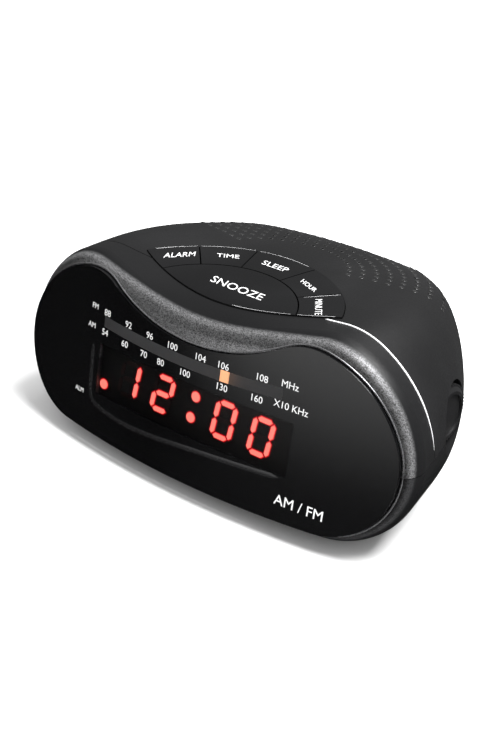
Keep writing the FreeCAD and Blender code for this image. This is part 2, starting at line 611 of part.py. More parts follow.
# ---------------------------------------------------------------- keys
raised = doc.addObject("Part::Feature", "raised_form")
raised.Shape = outer_form.Shape
raised.Placement = FreeCAD.Placement(V(0, 0, dim("key_lift")), FreeCAD.Rotation())
KG = dim("key_gap")
SNOOZE_C = (KX, dim("snooze_y") - dim("snooze_r"))
key_leaf = common("key_leaf", cyl("leaf_front", "dims.key_front_r - dims.key_gap", 20.0, (*FRONT_C, 65.3)),
                  cyl("leaf_rear", "dims.key_rear_r - dims.key_gap", 20.0, (*REAR_C, 65.3)))
key_block = common("key_block", raised, key_leaf)
snooze_disc = cyl("snooze_disc", "dims.snooze_r - dims.key_gap", 30.0, (*SNOOZE_C, 60))
ring_block = cut("ring_block", key_block,
                 cyl("snooze_clear", "dims.snooze_r + dims.key_gap", 30.0, (*SNOOZE_C, 60)))


def sector(name, start, end):
    """Wedge between two bearings (degrees clockwise from straight back), less half a gap each side."""
    points, far = [], 90.0
    for bearing, side in ((start, 1), (end, -1)):
        a = math.radians(bearing)
        shift = V(math.cos(a), -math.sin(a), 0) * (KG * side)
        points.append((KX + shift.x, REAR_C[1] + shift.y))
        points.append((KX + shift.x + far * math.sin(a), REAR_C[1] + shift.y + far * math.cos(a)))
    return pad(name, [points[0], points[1], points[3], points[2]], 30.0, (0, 0, 60))


KEYS = {"snooze_key": (None, (KX, -25.0)), "alarm_key": ((-89, -43.0), (KX - 34.0, -21.5)),
        "time_key": ((-43.0, -16.0), (KX - 20.8, -7.6)), "sleep_key": ((-16.0, 16.0), (KX, -2.6)),
        "hour_key": ((16.0, 43.0), (KX + 20.8, -7.6)), "minute_key": ((43.0, 89), (KX + 34.0, -21.5))}
FRAME_TOP, STEM_FOOT, KEY_BOARD = 64.2, 59.45, 54.5
for name, (span, (x, y)) in KEYS.items():
    cap = common(name + "_cap", key_block, snooze_disc) if span is None else common(
        name + "_cap", ring_block, sector(name + "_sector", *span))
    nodes[name] = fuse(name, cap, cyl(name + "_stem", 2.0, 66.0 - STEM_FOOT, (x, y, STEM_FOOT)))
frame_leaf = common("frame_leaf", cyl("frame_front", "dims.key_front_r + 2", 1.8,
                                      (*FRONT_C, FRAME_TOP - 1.8)),
                    cyl("frame_rear", "dims.key_rear_r + 2", 1.8, (*REAR_C, FRAME_TOP - 1.8)))
FRAME_POSTS = [(KX + x, y) for x, y in ((-31, -13), (31, -13), (-12, -30.5), (12, -30.5))]
frame = fuse("frame_solid", frame_leaf, *[cyl("frame_post%d" % i, 2.0, 6.5, (x, y, KEY_BOARD + 1.6))
                                          for i, (x, y) in enumerate(FRAME_POSTS)])
nodes["key_frame"] = cut("key_frame", frame,
                         *[cyl(n + "_guide", 2.3, 20.0, (*p, 50)) for n, (s, p) in KEYS.items()])
nodes["key_board"] = cut("key_board", box("key_board_blank", (KX - 40, -32.2, KEY_BOARD),
                                          (KX + 40, -0.3, KEY_BOARD + 1.6)),
                         *[cyl("key_board_hole%d" % i, 0.9, 5.0, (x, y, KEY_BOARD - 1)) for i,
                           (x, y) in enumerate(FRAME_POSTS)])
switches = []
for name, (span, (x, y)) in KEYS.items():
    top = KEY_BOARD + 1.6
    switches.append(fuse(name + "_switch",
                         box(name + "_body", (x - 3, y - 3, top), (x + 3, y + 3, top + 2.1)),
                         cyl(name + "_button", 1.6, 0.4, (x, y, top + 2.1))))
nodes["tact_switches"] = group("tact_switches", *switches)

# ---------------------------------------------------------------- display
BT = dim("board_thick")
display_plate = face_box("display_plate", (-54, 15.0, 13.5), (54, 15.0 + BT, 45.8))
nodes["display_board"] = cut("display_board", display_plate,
                             *[face_cyl("display_hole%d" % i, 1.4, 6.0, x, 13.0, up) for i,
                               (x, up) in enumerate(DISPLAY_POSTS)])
module = face_box("module_block", (-46.5, 7.4, 14.5), (46.5, 15.0, 36.5))
nodes["led_display"] = cut("led_display", module,
                           face_box("module_back", (-44.5, 12.0, 16.5), (44.5, 16.0, 34.5)))
DH, TL = dim("digit_high"), math.tan(math.radians(dim("digit_lean")))
SEG = {"a": [(0.12, 1.0), (0.88, 1.0)], "b": [(1, 0.97), (1, 0.53)], "c": [(1, 0.47), (1, 0.03)],
       "d": [(0.12, 0), (0.88, 0)],
       "e": [(0, 0.47), (0, 0.03)], "f": [(0, 0.97), (0, 0.53)], "g": [(0.12, 0.5), (0.88, 0.5)]}
LIT = ["bc", "abged", "abcdef", "abcdef"]
DIGIT_X = [-36.3, -19.6, 9.4, 26.1]
DIGIT_W, STROKE, DIGIT_UP = 7.8, 1.7, 18.5


def segment(name, x0, ends):
    (ax, ay), (bx, by) = ends
    high = DH - STROKE
    a = V(x0 + ax * DIGIT_W, 0, ay * high)
    b = V(x0 + bx * DIGIT_W, 0, by * high)
    along = unit(b - a)
    side = V(-along.z, 0, along.x) * (STROKE / 2)
    tip = along * (STROKE / 2)
    corners = [a, a + tip + side, b - tip + side, b, b - tip - side, a + tip - side]
    pts = [(p.x + p.z * TL, -p.z) for p in corners]
    body = pad(name, pts, 0.3)
    body.Placement = FreeCAD.Placement(face_point(0, 7.05, DIGIT_UP + STROKE / 2),
                                       FreeCAD.Rotation(V(1, 0, 0), -90 - LEAN))
    return body


lit, dark = [], []
for d, x0 in enumerate(DIGIT_X):
    for key, ends in SEG.items():
        (lit if key in LIT[d] else dark).append(segment("digit%d_%s" % (d, key), x0, ends))
for i, (x, up) in enumerate(((0.6, 30.2), (-0.7, 21.8), (-44.1, 19.8))):
    lit.append(face_cyl("dot%d" % i, 1.8, 0.3, x, 7.05, up))
nodes["led_segments_lit"] = group("led_segments_lit", *lit)
nodes["led_segments_dark"] = group("led_segments_dark", *dark)

# ---------------------------------------------------------------- main board
MB = dim("main_board_z")
nodes["main_board"] = cut("main_board", box("main_board_blank", (-64, -31, MB), (64, 9, MB + BT)),
                          *[cyl("main_hole%d" % i, 1.4, 5.0, (x, y, MB - 1)) for i,
                            (x, y) in enumerate(BOARD_POSTS)])
TOP = MB + BT
nodes["clock_chip"] = box("clock_chip", (-30, -24, TOP + 0.3), (6, -11, TOP + 4.3))
nodes["radio_chip"] = box("radio_chip", (-4, -6, TOP + 0.3), (18, 1, TOP + 3.8))
nodes["if_transformers"] = group("if_transformers", *[box("can%d" % i, (x, y, TOP), (x + 7, y + 7, TOP + 11))
                                                      for i,
                                                      (x, y) in enumerate(((10, -28), (-14, 1), (-30, -6)))])
nodes["electrolytic_capacitors"] = group("electrolytic_capacitors",
                                         *[cyl("elco%d" % i, r, h, (x, y, TOP)) for i, (x, y, r, h) in
                                         enumerate(((-44, -24, 5, 16), (-42, -4, 4, 11), (52, 0, 4, 12),
                                                    (22, 5, 3, 9)))])

# ---------------------------------------------------------------- speaker
R, Z0 = dim("speaker_r"), dim("speaker_z")
nodes["speaker_basket"] = turned("speaker_basket",
                                 [(0, 0), (14.5, 0), (19.5, 7.7), (R, 7.7), (R, 9.2), (18.6, 9.2),
                                  (13.6, 1.0), (0, 1.0)],
                                 (*SPK, Z0 - 7.7))
nodes["speaker_magnet"] = turned("speaker_magnet", [(0, 0), (14.0, 0), (14.0, 6.4), (0, 6.4)],
                                 (*SPK, Z0 - 14.2))
nodes["speaker_cone"] = turned("speaker_cone",
                               [(0, 4.2), (3.5, 3.5), (6.0, 2.2), (17.5, 9.5), (21.5, 9.6), (21.5, 10.0),
                                (17.2, 10.0),
                                                 (6.0, 2.9), (3.6, 4.1), (0, 4.8)], (*SPK, Z0 - 7.7))
clips, clip_screws = [], []
for i, (x, y) in enumerate(CLIPS):
    clips.append(cut("clip%d" % i, cyl("clip_disc%d" % i, 4.0, 1.0, (x, y, Z0 - 1.05)),
                     cyl("clip_hole%d" % i, 0.85, 3.0, (x, y, Z0 - 2))))
    clip_screws.append(fuse("clip_screw%d" % i, cyl("clip_head%d" % i, 1.8, 1.2, (x, y, Z0 - 2.3)),
                            cyl("clip_thread%d" % i, 0.8, 4.2, (x, y, Z0 - 1.2))))

# ---------------------------------------------------------------- mains transformer
nodes["transformer_core"] = cut("transformer_core", box("core_block", (-36, 22, 4.4), (0, 36, 32.4)),
                                box("core_window_left", (-30.5, 20, 9), (-22.5, 40, 28)),
                                box("core_window_right", (-13.5, 20, 9), (-5.5, 40, 28)))
nodes["transformer_coil"] = cut("transformer_coil",
                                box("coil_block", (-30.3, 16.5, 9.2), (-5.7, 40.5, 27.8)),
                                box("coil_inside", (-22.7, 21.8, 5), (-13.3, 36.2, 30)))

# ---------------------------------------------------------------- aerial rod
nodes["ferrite_rod"] = cyl("ferrite_rod", 4.0, 56.0, (-28, 46, 17), "x")
nodes["aerial_coil"] = cut("aerial_coil", cyl("coil_tube", 5.0, 16.0, (-8, 46, 17), "x"),
                           cyl("coil_tube_bore", 4.05, 18.0, (-9, 46, 17), "x"))
nodes["rod_holders"] = group("rod_holders",
                             *[cut("holder%d" % i, box("holder_block%d" % i, (x, 41, 9.1), (x + 4, 51, 19)),
                                                  cyl("holder_bore%d" % i, 4.05, 6.0, (x - 1, 46, 17), "x"))
                                              for i, x in enumerate((-22, 18))])

# ---------------------------------------------------------------- back-up battery
BL, BW, BH = dim("battery_long"), dim("battery_wide"), dim("battery_high")
battery = box("battery_case", (-50, -22.2, 4.2), (-50 + BL, -22.2 + BW, 4.2 + BH))
nodes["backup_battery"] = fuse("backup_battery", battery,
                               cyl("battery_plus", 2.9, 3.0, (-50 + BL - 0.5, -15.3, 13), "x"),
                               cyl("battery_minus", 3.6, 3.0, (-50 + BL - 0.5, -2.6, 13), "x"))
nodes["battery_snap"] = box("battery_snap", (1.1, -20, 7), (4.0, 2, 19))
nodes["battery_door"] = fuse("battery_door",
                             box("door_plate", (-52.2, -23.2, FLOOR + 0.05), (7.3, 5.2, FLOOR + 1.85)),
                             cyl("door_hinge_edge", 0.9, 28.4, (7.3, -23.2, FLOOR + 0.95), "y"))

# ---------------------------------------------------------------- feet, gland and screws
FOOT = [(0, 0), (4.2, 0), (5.0, 0.9), (5.0, 2.6), (0, 2.6)]
nodes["rubber_feet"] = group("rubber_feet",
                             *[turned("foot%d" % i, FOOT, (x, y, 0)) for i, (x, y) in enumerate(FEET)])
nodes["cord_gland"] = cut("cord_gland", fuse("gland_solid", cyl("gland_body", 4.5, 5.4, (0, 56.2, 20), "y"),
                                             cyl("gland_lip", 6.0, 1.4, (0, 56.2, 20), "y")),
                          cyl("gland_bore", 2.6, 20.0, (0, 50, 20), "y"))
nodes["case_screws"] = group("case_screws",
                             *[fuse("case_screw%d" % i, cyl("case_head%d" % i, 3.0, 2.1, (x, y, 9.9)),
                                                   cyl("case_thread%d" % i, "dims.screw_r", 34.0,
                                                       (x, y, 11.9)))
                                              for i, (x, y) in enumerate(CASE_SCREWS)])
nodes["board_screws"] = group("board_screws",
                              *[fuse("board_screw%d" % i,
                                     cyl("board_head%d" % i, 2.4, 1.6, (x, y, TOP + 0.02)),
                                                     cyl("board_thread%d" % i, 1.2, 10.0, (x, y, TOP - 9.9)))
                                                for i, (x, y) in enumerate(BOARD_POSTS)])
nodes["display_screws"] = group("display_screws",
                                *[fuse("display_screw%d" % i,
                                       face_cyl("display_head%d" % i, 2.4, 1.5, x, 15.02 + BT, up),
                                                         face_cyl("display_thread%d" % i, 1.2, 9.1, x,
                                                                  7.0 + BT, up))
                                                    for i, (x, up) in enumerate(DISPLAY_POSTS)])
nodes["speaker_clips"] = group("speaker_clips", *clips)
nodes["speaker_screws"] = group("speaker_screws", *clip_screws)

doc.recompute()

# ---------------------------------------------------------------- checks and export
problems = []
for obj in doc.Objects:
    if any(word in obj.State for word in ("Invalid", "Error")):
        problems.append("%s is %s" % (obj.Name, obj.State))
for name, obj in nodes.items():
    obj.Label = name
    if obj.Shape.isNull() or not obj.Shape.isValid():
        problems.append("%s has a bad shape" % name)
if problems:
    raise RuntimeError("; ".join(problems))
for name, obj in nodes.items():
    obj.Shape.exportStep("parts/%s.step" % name)
print(len(nodes), "parts written")
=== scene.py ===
import json
import math

import bpy
from mathutils import Matrix, Vector
from mathutils.bvhtree import BVHTree


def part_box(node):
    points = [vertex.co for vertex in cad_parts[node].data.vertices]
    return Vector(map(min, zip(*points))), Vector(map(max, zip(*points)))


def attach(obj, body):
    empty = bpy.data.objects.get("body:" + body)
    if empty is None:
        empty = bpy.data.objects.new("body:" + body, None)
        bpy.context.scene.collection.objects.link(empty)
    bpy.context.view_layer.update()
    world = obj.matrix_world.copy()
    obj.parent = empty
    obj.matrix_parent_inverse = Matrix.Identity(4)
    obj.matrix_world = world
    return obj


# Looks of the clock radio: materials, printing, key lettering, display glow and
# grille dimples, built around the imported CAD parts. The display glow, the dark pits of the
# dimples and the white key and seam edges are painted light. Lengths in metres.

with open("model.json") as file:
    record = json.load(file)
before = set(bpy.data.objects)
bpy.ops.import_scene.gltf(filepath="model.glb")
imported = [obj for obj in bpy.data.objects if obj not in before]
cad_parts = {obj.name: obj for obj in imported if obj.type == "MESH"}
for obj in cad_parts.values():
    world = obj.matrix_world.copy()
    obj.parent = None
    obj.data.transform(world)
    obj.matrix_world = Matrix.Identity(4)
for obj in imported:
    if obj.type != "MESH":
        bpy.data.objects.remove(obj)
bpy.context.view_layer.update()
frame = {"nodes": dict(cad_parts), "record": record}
nodes = frame["nodes"]
slots = {p["node"]: p["material_slot"] for p in frame["record"]["subparts"]}
MM = 0.001

# The leaning, bowed face: its lowest front point, its lean and its plan radius.
LEAN = math.radians(12)
FACE = Vector((0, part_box("display_lens")[0].y, 0.007))
UP = Vector((0, math.sin(LEAN), math.cos(LEAN)))
BACK = Vector((0, math.cos(LEAN), -math.sin(LEAN)))

# Driving dimensions that the CAD shares, in millimetres. An arc is its centre and its radius.
LENS_PLAN_RADIUS = 435.0
SEAM_Y = -27.0
FRONT_ARC = ((2.0, 53.0), 89.0)
REAR_ARC = ((2.0, -42.7), 48.3)
MINUTE_BEARING = 43.0
GRILLE_Y = -2.0
SPEAKER = Vector((0.0, 25.0))
SPEAKER_OPENING = 20.5
SEGMENT_BACK = 7.28

# The dial slot and its rows of labels sag in the middle: up the face by this times x squared.
DIAL_SAG = 0.00107


# ---------------------------------------------------------------- node helpers
def add(tree, kind, inputs=None, **settings):
    made = tree.nodes.new(kind)
    for key, value in settings.items():
        setattr(made, key, value)
    for key, value in (inputs or {}).items():
        if isinstance(value, bpy.types.NodeSocket):
            tree.links.new(value, made.inputs[key])
        else:
            made.inputs[key].default_value = value
    return made


def math_node(tree, operation, a, b=0.0, c=0.0):
    return add(tree, "ShaderNodeMath", {0: a, 1: b, 2: c}, operation=operation).outputs[0]


def ramp(tree, value, low, high, to_low=0.0, to_high=1.0):
    made = add(tree, "ShaderNodeMapRange", {"Value": value, "From Min": low, "From Max": high,
                                            "To Min": to_low, "To Max": to_high})
    made.interpolation_type = "SMOOTHSTEP"
    return made.outputs[0]


def mix(tree, factor, a, b):
    made = add(tree, "ShaderNodeMix", data_type="RGBA")
    for key, value in ((0, factor), (6, a), (7, b)):
        if isinstance(value, bpy.types.NodeSocket):
            tree.links.new(value, made.inputs[key])
        else:
            made.inputs[key].default_value = value if key == 0 else (*value, 1.0)
    return made.outputs[2]


def material(name):
    made = bpy.data.materials.new(name)
    made.use_nodes = True
    tree = made.node_tree
    return made, tree, tree.nodes["Principled BSDF"], add(tree, "ShaderNodeTexCoord").outputs["Object"]


def noise(tree, where, scale, detail=2.0):
    return add(tree, "ShaderNodeTexNoise", {"Vector": where, "Scale": scale, "Detail": detail}).outputs["Fac"]


def bump(tree, height, distance, strength=1.0):
    settings = {"Height": height, "Distance": distance, "Strength": strength}
    return add(tree, "ShaderNodeBump", settings).outputs[0]


def along(tree, where, direction):
    made = add(tree, "ShaderNodeVectorMath", {0: where, 1: direction}, operation="DOT_PRODUCT")
    return made.outputs["Value"]


def moulded(name, colour, rough, grain=0.5, grain_scale=2200.0, metallic=0.0, specular=0.5, tint=0.25):
    """Moulded or painted surface: fine grain, with slow changes of tone and gloss."""
    made, tree, bsdf, where = material(name)
    slow = noise(tree, where, 22.0, 3.0)
    fine = noise(tree, where, grain_scale, 3.0)
    dark = tuple(c * (1 - tint) for c in colour)
    light = tuple(min(1.0, c * (1 + tint)) for c in colour)
    tree.links.new(mix(tree, ramp(tree, slow, 0.3, 0.7), dark, light), bsdf.inputs["Base Color"])
    tree.links.new(ramp(tree, fine, 0.25, 0.75, rough - 0.05, rough + 0.07), bsdf.inputs["Roughness"])
    tree.links.new(bump(tree, fine, 0.00004, grain), bsdf.inputs["Normal"])
    bsdf.inputs["Metallic"].default_value = metallic
    bsdf.inputs["Specular IOR Level"].default_value = specular
    return made


def brushed(name, colour, rough=0.3, scale=(60.0, 60.0, 4000.0)):
    """Metal with fine lines running along one direction."""
    made, tree, bsdf, where = material(name)
    stretched = add(tree, "ShaderNodeVectorMath", {0: where, 1: scale}, operation="MULTIPLY").outputs[0]
    lines = noise(tree, stretched, 1.0, 4.0)
    tree.links.new(mix(tree, lines, tuple(c * 0.8 for c in colour), colour), bsdf.inputs["Base Color"])
    tree.links.new(ramp(tree, lines, 0.3, 0.7, rough - 0.08, rough + 0.1), bsdf.inputs["Roughness"])
    tree.links.new(bump(tree, lines, 0.00001, 0.4), bsdf.inputs["Normal"])
    bsdf.inputs["Metallic"].default_value = 1.0
    return made


def glowing(name, colour, strength, base=(0.6, 0.05, 0.04)):
    made, tree, bsdf, where = material(name)
    bsdf.inputs["Base Color"].default_value = (*base, 1.0)
    bsdf.inputs["Roughness"].default_value = 0.5
    fine = noise(tree, where, 1500.0)
    tree.links.new(mix(tree, fine, tuple(c * 0.92 for c in colour), colour), bsdf.inputs["Emission Color"])
    bsdf.inputs["Emission Strength"].default_value = strength
    return made


def face_axes(tree, where):
    """Distance across, behind and up the face, in millimetres."""
    from_face = add(tree, "ShaderNodeVectorMath", {0: where, 1: tuple(FACE)}, operation="SUBTRACT").outputs[0]
    return [along(tree, from_face, tuple(axis * 1000)) for axis in (Vector((1, 0, 0)), BACK, UP)]


def bowed_depth(tree, where):
    """Distance behind the bowed plane of the face, in millimetres."""
    across, behind, up = face_axes(tree, where)
    bow = math_node(tree, "DIVIDE", math_node(tree, "MULTIPLY", across, across), 2 * LENS_PLAN_RADIUS)
    return math_node(tree, "SUBTRACT", behind, bow)


def rim_paint(name, dark_flake, light_flake):
    """Case part: black satin moulding that turns to gunmetal flake paint on the rounded rim."""
    made, tree, bsdf, where = material(name)
    near = ramp(tree, bowed_depth(tree, where), 2.0, 5.0, 1.0, 0.0)
    flake = add(tree, "ShaderNodeTexVoronoi", {"Vector": where, "Scale": 3600.0}).outputs["Color"]
    sparkle = add(tree, "ShaderNodeSeparateColor", {"Color": flake}).outputs[0]
    slow = noise(tree, where, 25.0, 3.0)
    deck = mix(tree, slow, (0.007, 0.007, 0.0075), (0.011, 0.011, 0.0115))
    metal = mix(tree, sparkle, dark_flake, light_flake)
    tree.links.new(mix(tree, near, deck, metal), bsdf.inputs["Base Color"])
    tree.links.new(math_node(tree, "MULTIPLY", near, 0.97), bsdf.inputs["Metallic"])
    tree.links.new(ramp(tree, near, 0.0, 1.0, 0.42, 0.33), bsdf.inputs["Roughness"])
    tree.links.new(bump(tree, sparkle, 0.00003, 0.35), bsdf.inputs["Normal"])
    bsdf.inputs["Specular IOR Level"].default_value = 0.2
    return made


def box_mask(tree, across, up, centre_x, centre_up, half_x, half_up, soft=0.25):
    """One inside a rectangle on the face, zero outside."""
    sides = []
    for value, centre, half in ((across, centre_x, half_x), (up, centre_up, half_up)):
        off = math_node(tree, "ABSOLUTE", math_node(tree, "SUBTRACT", value, centre))
        sides.append(ramp(tree, off, half - soft, half + soft, 1.0, 0.0))
    return math_node(tree, "MULTIPLY", *sides)


def lens_material():
    """Polished black window: opaque print behind it, except over the display and the dial slot."""
    made, tree, bsdf, where = material("smoked_lens")
    across, behind, up = face_axes(tree, where)
    display = box_mask(tree, across, up, 1.75, 27.8, 44.75, 9.8, 0.6)
    rise = math_node(tree, "MULTIPLY", math_node(tree, "MULTIPLY", across, across), DIAL_SAG)
    slot = box_mask(tree, across, math_node(tree, "SUBTRACT", up, rise), -0.5, 44.75, 41.2, 2.1, 0.06)
    clear = math_node(tree, "MULTIPLY", display, 0.55)
    clear = math_node(tree, "ADD", clear, math_node(tree, "MULTIPLY", slot, 0.92))
    # the print is on the front surface, so the back one is clear
    printed = ramp(tree, bowed_depth(tree, where), 1.9, 2.3, 1.0, 0.0)
    alpha = math_node(tree, "MULTIPLY", printed, math_node(tree, "SUBTRACT", 1.0, clear))
    slow = noise(tree, where, 30.0)
    black = mix(tree, slow, (0.0015, 0.0015, 0.0017), (0.0030, 0.0030, 0.0033))
    tree.links.new(black, bsdf.inputs["Base Color"])
    polish = ramp(tree, noise(tree, where, 400.0, 4.0), 0.3, 0.7, 0.05, 0.09)
    tree.links.new(polish, bsdf.inputs["Roughness"])
    tree.links.new(alpha, bsdf.inputs["Alpha"])
    bsdf.inputs["IOR"].default_value = 1.49
    return made


MATERIALS = {
    "black_cabinet": moulded("black_cabinet", (0.0105, 0.0105, 0.011), 0.46, 0.8, 1500.0, specular=0.2),
    "rim_paint": rim_paint("rim_paint", (0.11, 0.11, 0.113), (0.66, 0.66, 0.67)),
    "base_black": rim_paint("base_black", (0.05, 0.05, 0.052), (0.16, 0.16, 0.165)),
    "smoked_lens": lens_material(),
    "key_black": moulded("key_black", (0.007, 0.007, 0.0075), 0.40, 0.2, 3000.0, specular=0.18),
    "knob_black": moulded("knob_black", (0.009, 0.009, 0.0095), 0.42, 0.3, 3000.0, specular=0.4),
    # The dial strip and the pointer are no lamps: their glow is painted light that keeps them bright behind
    # the smoked lens.
    "dial_grey": glowing("dial_grey", (0.98, 0.98, 1.0), 0.038, (0.05, 0.05, 0.052)),
    "pointer_orange": glowing("pointer_orange", (1.0, 0.50, 0.26), 0.98, (0.9, 0.42, 0.2)),
    "led_red": glowing("led_red", (1.0, 0.206, 0.161), 2.3),
    "led_off": moulded("led_off", (0.02, 0.003, 0.003), 0.5, 0.1),
    "module_black": moulded("module_black", (0.006, 0.006, 0.006), 0.6, 0.2),
    "steel": brushed("steel", (0.62, 0.62, 0.63)),
    "cord_fibre": moulded("cord_fibre", (0.42, 0.37, 0.25), 0.8, 1.0, 5000.0),
    "white_nylon": moulded("white_nylon", (0.72, 0.71, 0.66), 0.45, 0.2, tint=0.06),
    "board_green": moulded("board_green", (0.02, 0.14, 0.05), 0.35, 0.4, 900.0, tint=0.2),
    "board_tan": moulded("board_tan", (0.36, 0.22, 0.09), 0.5, 0.4, 700.0, tint=0.15),
    "chip_black": moulded("chip_black", (0.02, 0.02, 0.021), 0.55, 0.5, 1800.0),
    "can_metal": brushed("can_metal", (0.72, 0.72, 0.73), 0.35),
    "elco_blue": moulded("elco_blue", (0.015, 0.03, 0.16), 0.3, 0.1, tint=0.1),
    "poly_clear": moulded("poly_clear", (0.6, 0.6, 0.55), 0.35, 0.2, tint=0.08),
    "speaker_steel": moulded("speaker_steel", (0.05, 0.05, 0.052), 0.4, 0.2, metallic=0.6),
    "magnet_grey": moulded("magnet_grey", (0.05, 0.05, 0.055), 0.65, 0.8, 900.0),
    "paper_cone": moulded("paper_cone", (0.02, 0.02, 0.02), 0.85, 1.0, 700.0),
    "core_steel": brushed("core_steel", (0.25, 0.25, 0.26), 0.45, (60.0, 4000.0, 60.0)),
    "coil_yellow": moulded("coil_yellow", (0.62, 0.42, 0.07), 0.45, 0.3, 600.0, tint=0.12),
    "ferrite_dark": moulded("ferrite_dark", (0.03, 0.028, 0.028), 0.6, 0.9, 1200.0),
    "copper_wire": brushed("copper_wire", (0.62, 0.26, 0.1), 0.3, (4000.0, 60.0, 60.0)),
    "battery_sleeve": moulded("battery_sleeve", (0.12, 0.13, 0.16), 0.35, 0.2, metallic=0.5),
    "rubber": moulded("rubber", (0.012, 0.012, 0.012), 0.8, 0.8, 1300.0),
}
for name, node in nodes.items():
    node.data.materials.clear()
    node.data.materials.append(MATERIALS[slots[name]])

INK = moulded("white_ink", (0.80, 0.80, 0.80), 0.5, 0.1, tint=0.03)
LINE = moulded("lens_step", (0.010, 0.010, 0.0105), 0.22, 0.1)
# Red plates round the lit segments glow as painted light: the halo of the segments, not lamps of their own.
GLOW = glowing("led_glow", (1.0, 0.002, 0.018), 1.15)
PAINTED_HALO = glowing("led_painted_halo", (1.0, 0.0, 0.012), 0.22, (0.05, 0.0, 0.0))
# Dark discs inside the closed grille lips: painted shade in place of the hollow of each pit.
PAINTED_PIT_SHADE = moulded("grille_pit_shade_paint", (0.004, 0.004, 0.004), 0.6, 0.3)
LIP = moulded("grille_lip", (0.022, 0.022, 0.0225), 0.24, 0.2)
# White, bright under any lamp: painted highlight for the beads on key and seam edges.
PAINTED_HIGHLIGHT = moulded("polished_edge", (0.86, 0.86, 0.87), 0.25, 0.1, tint=0.03)
RIM_EDGE = moulded("rim_edge", (0.34, 0.34, 0.35), 0.28, 0.1, metallic=0.8, tint=0.05)


# ---------------------------------------------------------------- piece helpers
depsgraph = bpy.context.evaluated_depsgraph_get()
trees = {}
TOP = Vector((0, 0, 1))
ABOVE = 0.12  # height from which rays are cast down, in metres
AHEAD = -20.0  # depth from which rays are cast at the face, in millimetres
PRINT_LIFT = 0.03  # printing stands off its surface by this, in millimetres


def hit(node, start, direction):
    """First point of a CAD node's surface from start, and the normal there."""
    if node not in trees:
        trees[node] = BVHTree.FromObject(nodes[node], depsgraph)
    point, normal, _, _ = trees[node].ray_cast(start, direction)
    return point, normal


def on_face(x, up, depth=0.0):
    """Point of the upright plane of the face, or behind it by a depth, all in millimetres."""
    return FACE + Vector((x * MM, 0, 0)) + UP * (up * MM) + BACK * (depth * MM)


def on_lens(x, up, lift):
    """Point on the front of the lens, ahead of it by lift."""
    start = on_face(x, up, AHEAD)
    point, _ = hit("display_lens", start, BACK)
    return point - BACK * lift if point else on_face(x, up)


def on_top(node, x, y, lift):
    """Point on top of a node at a place in plan, raised by lift, or None beside the node."""
    point, _ = hit(node, Vector((x * MM, y * MM, ABOVE)), -TOP)
    return point + Vector((0, 0, lift)) if point else None


def piece(name, points, faces, material_used, body, smooth=False):
    """Mesh object that rides on a body."""
    mesh = bpy.data.meshes.new(name)
    mesh.from_pydata(points, [], faces)
    mesh.validate()
    obj = bpy.data.objects.new(name, mesh)
    bpy.context.scene.collection.objects.link(obj)
    mesh.materials.append(material_used)
    if smooth:
        mesh.shade_smooth()
    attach(obj, body)
    return obj


def lettering(words, size):
    """Points and faces of a thin solid word, centred on the origin, in millimetres."""
    curve = bpy.data.curves.new("lettering", "FONT")
    curve.body, curve.size = words, size
    curve.align_x, curve.align_y, curve.resolution_u = "CENTER", "CENTER", 3
    curve.extrude = 0.02
    made = bpy.data.objects.new("lettering", curve)
    bpy.context.scene.collection.objects.link(made)
    bpy.context.view_layer.update()
    mesh = bpy.data.meshes.new_from_object(made.evaluated_get(bpy.context.evaluated_depsgraph_get()))
    points = [v.co.copy() for v in mesh.vertices]
    middle = (max(p.y for p in points) + min(p.y for p in points)) / 2
    faces = [tuple(f.vertices) for f in mesh.polygons]
    bpy.data.objects.remove(made)
    return [p - Vector((0, middle, 0)) for p in points], faces


class Collected:
    """Points and faces gathered from several small shapes."""

    def __init__(self):
        self.points, self.faces = [], []

    def take(self, points, faces):
        first = len(self.points)
        self.points += points
        self.faces += [tuple(first + i for i in f) for f in faces]


# ---------------------------------------------------------------- printing on the lens
printing = Collected()
# Each dial row is a height on the lens, and its labels with their places across and sizes.
FM_ROW = (48.4, [("FM", -47.5, 2.9), ("88", -40.5, 3.5), ("92", -29.0, 3.5), ("96", -18.0, 3.5),
                 ("100", -7.0, 3.5), ("104", 6.0, 3.5), ("106", 16.0, 3.5), ("108", 32.0, 3.5),
                 ("MHz", 43.0, 3.5)])
AM_ROW = (40.7, [("AM", -48.5, 2.9), ("54", -41.0, 3.5), ("60", -30.0, 3.5), ("70", -20.0, 3.5),
                 ("80", -11.5, 3.5), ("100", 0.0, 3.5), ("130", 16.5, 3.5), ("160", 31.0, 3.5),
                 ("X10 KHz", 44.5, 3.5)])
OTHERS = [("ALM", -52.5, 16.0, 2.6), ("AM / FM", 53.0, 9.2, 5.4)]
labels = [(words, x, height + DIAL_SAG * x * x, size)
          for height, row in (FM_ROW, AM_ROW) for words, x, size in row]
for words, x, up, size in labels + OTHERS:
    points, faces = lettering(words, size)
    printing.take([on_lens(x + p.x, up + p.y, (p.z + PRINT_LIFT) * MM) for p in points], faces)
piece("dial_print", printing.points, printing.faces, INK, "radio")

# Soft raised step that frames the display's left and bottom on the lens.
STEP_LINE = [(-46.8, 36.2), (-46.6, 26.0), (-46.3, 18.0), (-44.8, 14.6), (-41.0, 12.9), (-33.0, 11.7),
             (-23.4, 11.3), (-10.0, 12.1), (2.2, 13.4), (17.8, 14.8), (32.3, 16.0), (43.7, 17.0)]
STEP_WIDTH, STEP_HEIGHT = 1.9, 0.12


